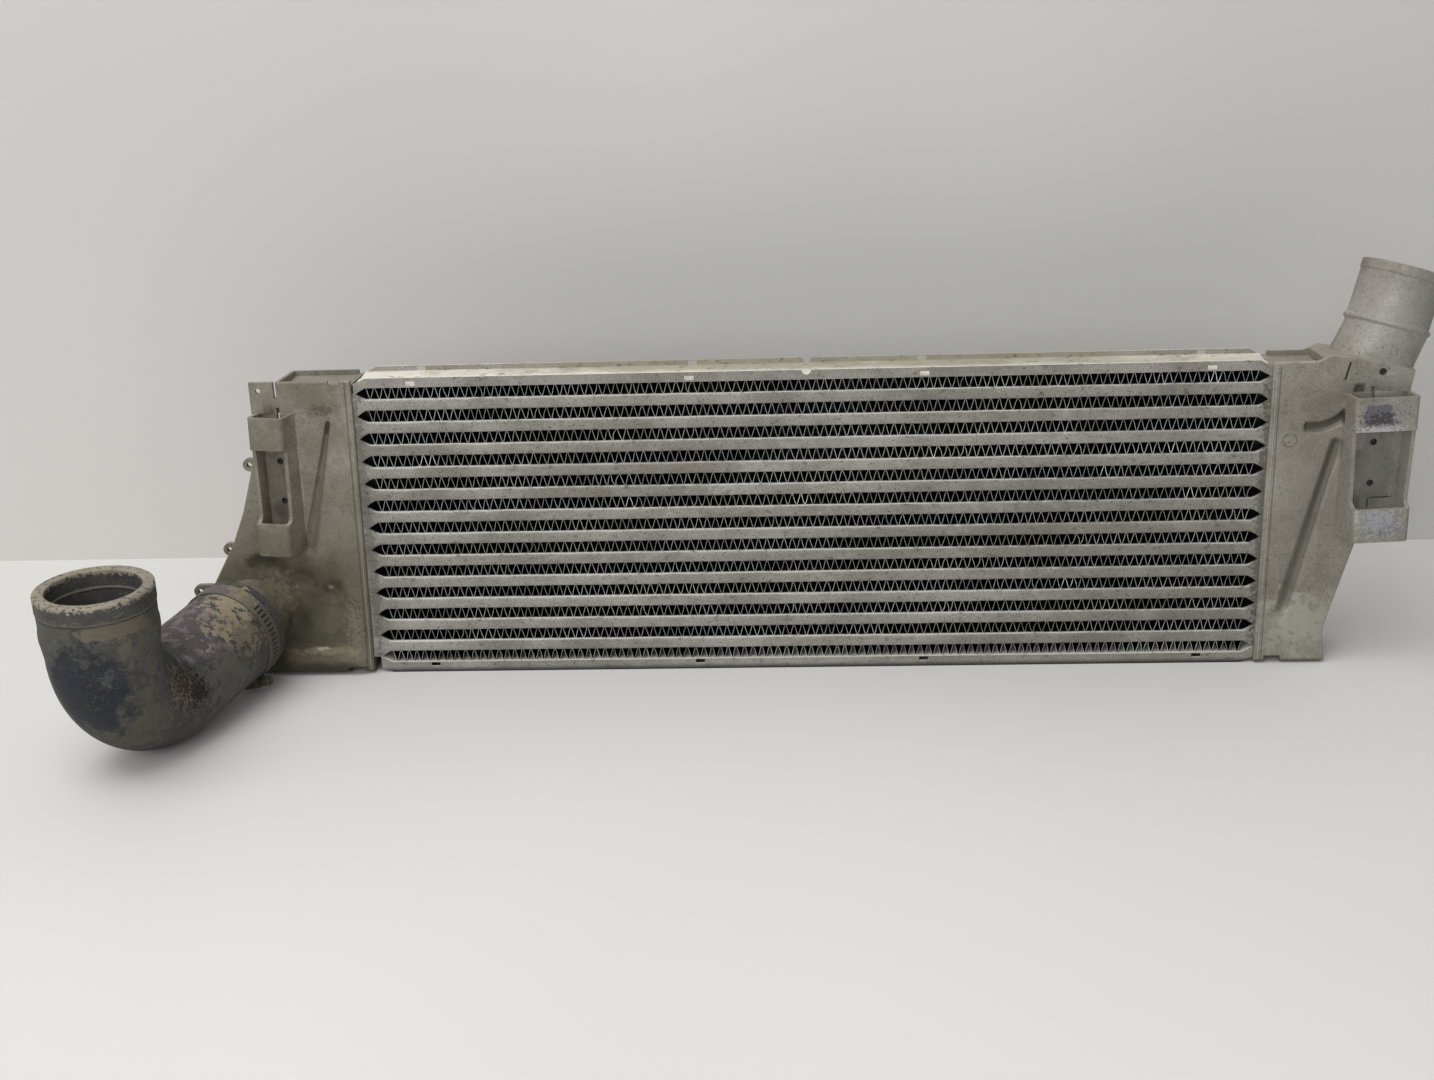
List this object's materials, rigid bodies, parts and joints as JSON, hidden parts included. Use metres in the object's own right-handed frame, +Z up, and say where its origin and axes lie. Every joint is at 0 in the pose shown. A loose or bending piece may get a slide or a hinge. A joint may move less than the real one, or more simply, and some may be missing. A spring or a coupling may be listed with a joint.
{
  "type": "intercooler",
  "caption": "Used air-to-air intercooler: finned tube core between two cast tanks, with sleeve brackets, an outlet neck and an elbow hose clamped on the inlet.",
  "frame": {"origin": "middle of the lower front edge of the core, on the plane that the lower flanges stand on", "axes": "+X along the core towards the outlet neck, +Y from the front face to the back, +Z up"},
  "size_m": [0.9082, 0.2493, 0.2806],
  "materials": {
    "tank_casting": "rough cast, dirty",
    "tube_aluminium": "dull, brazed",
    "turbulator_aluminium": "dull",
    "fin_aluminium": "dull, dusty",
    "plate_aluminium": "dull, dirty",
    "hose_rubber": "matt, worn",
    "clamp_steel": "dull"
  },
  "bodies": {
    "root": {"left_tank": "tank_casting", "right_tank": "tank_casting", "side_plate_lower": "plate_aluminium", "side_plate_upper": "plate_aluminium", "elbow_hose": "hose_rubber", "clamp_band": "clamp_steel", "clamp_worm_housing": "clamp_steel", "clamp_screw": "clamp_steel", "tube_01": "tube_aluminium", "tube_02": "tube_aluminium", "tube_03": "tube_aluminium", "tube_04": "tube_aluminium", "tube_05": "tube_aluminium", "tube_06": "tube_aluminium", "tube_07": "tube_aluminium", "tube_08": "tube_aluminium", "tube_09": "tube_aluminium", "tube_10": "tube_aluminium", "tube_11": "tube_aluminium", "tube_12": "tube_aluminium", "turbulator_01": "turbulator_aluminium", "turbulator_02": "turbulator_aluminium", "turbulator_03": "turbulator_aluminium", "turbulator_04": "turbulator_aluminium", "turbulator_05": "turbulator_aluminium", "turbulator_06": "turbulator_aluminium", "turbulator_07": "turbulator_aluminium", "turbulator_08": "turbulator_aluminium", "turbulator_09": "turbulator_aluminium", "turbulator_10": "turbulator_aluminium", "turbulator_11": "turbulator_aluminium", "turbulator_12": "turbulator_aluminium", "air_fin_01": "fin_aluminium", "air_fin_02": "fin_aluminium", "air_fin_03": "fin_aluminium", "air_fin_04": "fin_aluminium", "air_fin_05": "fin_aluminium", "air_fin_06": "fin_aluminium", "air_fin_07": "fin_aluminium", "air_fin_08": "fin_aluminium", "air_fin_09": "fin_aluminium", "air_fin_10": "fin_aluminium", "air_fin_11": "fin_aluminium", "air_fin_12": "fin_aluminium", "air_fin_13": "fin_aluminium"}
  },
  "joints": []
}
